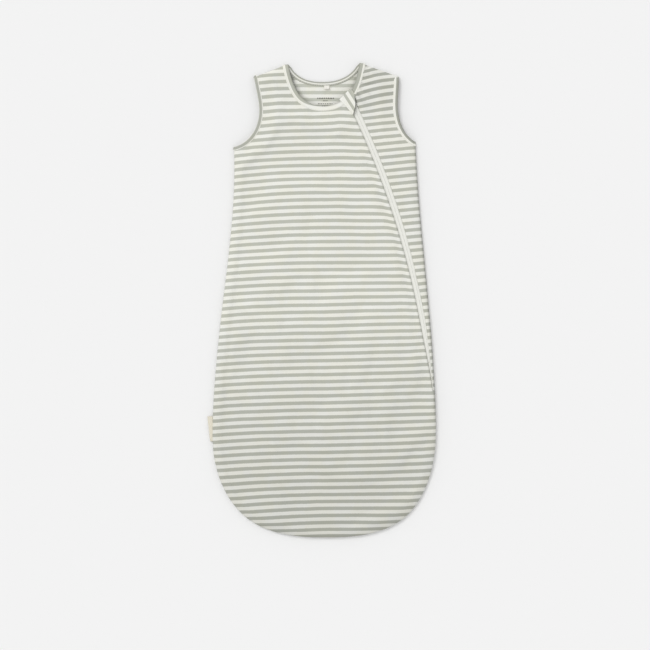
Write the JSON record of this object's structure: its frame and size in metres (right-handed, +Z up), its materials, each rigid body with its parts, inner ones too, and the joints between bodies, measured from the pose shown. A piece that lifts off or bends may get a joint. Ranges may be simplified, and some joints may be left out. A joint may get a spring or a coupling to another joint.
{
  "type": "baby sleeping bag",
  "caption": "Sleeveless striped jersey sleeping bag lying flat, round hem, bound neck and armholes, off-centre zip that runs from the neck to the side seam.",
  "frame": {"origin": "on the underside of the back panel, on the centre line, half way between hem and shoulders", "axes": "+Z up from the surface the bag lies on, out of the front; +Y from hem to neck; +X to the right as seen from above, towards the zip side"},
  "size_m": [0.3376, 0.701, 0.0143],
  "materials": {
    "striped_jersey": "soft brushed jersey in sage and off-white stripes",
    "binding": "folded jersey binding, sage with an off-white edge",
    "seam_thread": "overlocked thread",
    "zip_tape": "woven polyester tape",
    "zip_coil": "nylon coil",
    "zip_stop": "moulded",
    "slider_enamel": "satin enamel",
    "spring_steel": "bright",
    "label_weave": "woven satin label",
    "tag_weave": "woven cotton tab"
  },
  "bodies": {
    "bag": {"back_panel": "striped_jersey", "front_panel": "striped_jersey", "side_front_panel": "striped_jersey", "side_seam_left": "seam_thread", "side_seam_right": "seam_thread", "hem_seam": "seam_thread", "shoulder_seam_left": "seam_thread", "shoulder_seam_right": "seam_thread", "neck_binding_back": "binding", "armhole_binding_left": "binding", "armhole_binding_right": "binding", "zip_tape_left_tail": "zip_tape", "zip_tape_right": "zip_tape", "zip_coil_right": "zip_coil", "zip_top_stop_right": "zip_stop", "zip_bottom_stop": "zip_stop", "inner_zip_guard": "striped_jersey", "neck_label": "label_weave", "side_tag": "tag_weave", "care_label": "label_weave"},
    "front_flap": {"front_flap_panel": "striped_jersey", "neck_binding_front": "binding", "zip_tape_left": "zip_tape", "zip_coil_left": "zip_coil", "zip_top_stop_left": "zip_stop"},
    "garage": {"zip_garage": "striped_jersey"},
    "slider": {"slider_body": "slider_enamel", "slider_lock_spring": "spring_steel", "slider_cap": "slider_enamel"},
    "pull": {"pull_tab": "slider_enamel"}
  },
  "joints": [
    {"name": "zip_travel", "type": "hinge", "parent": "bag", "child": "slider", "pos_m": [-1.10452, -0.26123, 0.009], "axis": [0, 0, -1], "range_deg": [0, 17.67]},
    {"name": "pull_tab_swing", "type": "hinge", "parent": "slider", "child": "pull", "pos_m": [0.04066, 0.29243, 0.0106], "axis": [0.9003, 0.4353, 0], "range_deg": [0, 160]},
    {"name": "front_flap_fold", "type": "hinge", "parent": "bag", "child": "front_flap", "pos_m": [-0.034, 0.306, 0.01095], "axis": [0.4218, -0.9067, 0], "range_deg": [0, 170], "deforming": ["zip_tape_left", "zip_coil_left", "neck_binding_front"]},
    {"name": "garage_fold", "type": "hinge", "parent": "front_flap", "child": "garage", "pos_m": [0.0265, 0.2985, 0.01095], "axis": [0.5423, -0.8402, 0], "range_deg": [0, 160], "deforming": ["zip_garage"]}
  ],
  "couplings": [
    {"joint": "front_flap_fold", "follows": "zip_travel", "ratio": 9.62},
    {"joint": "garage_fold", "follows": "pull_tab_swing", "ratio": 1}
  ]
}
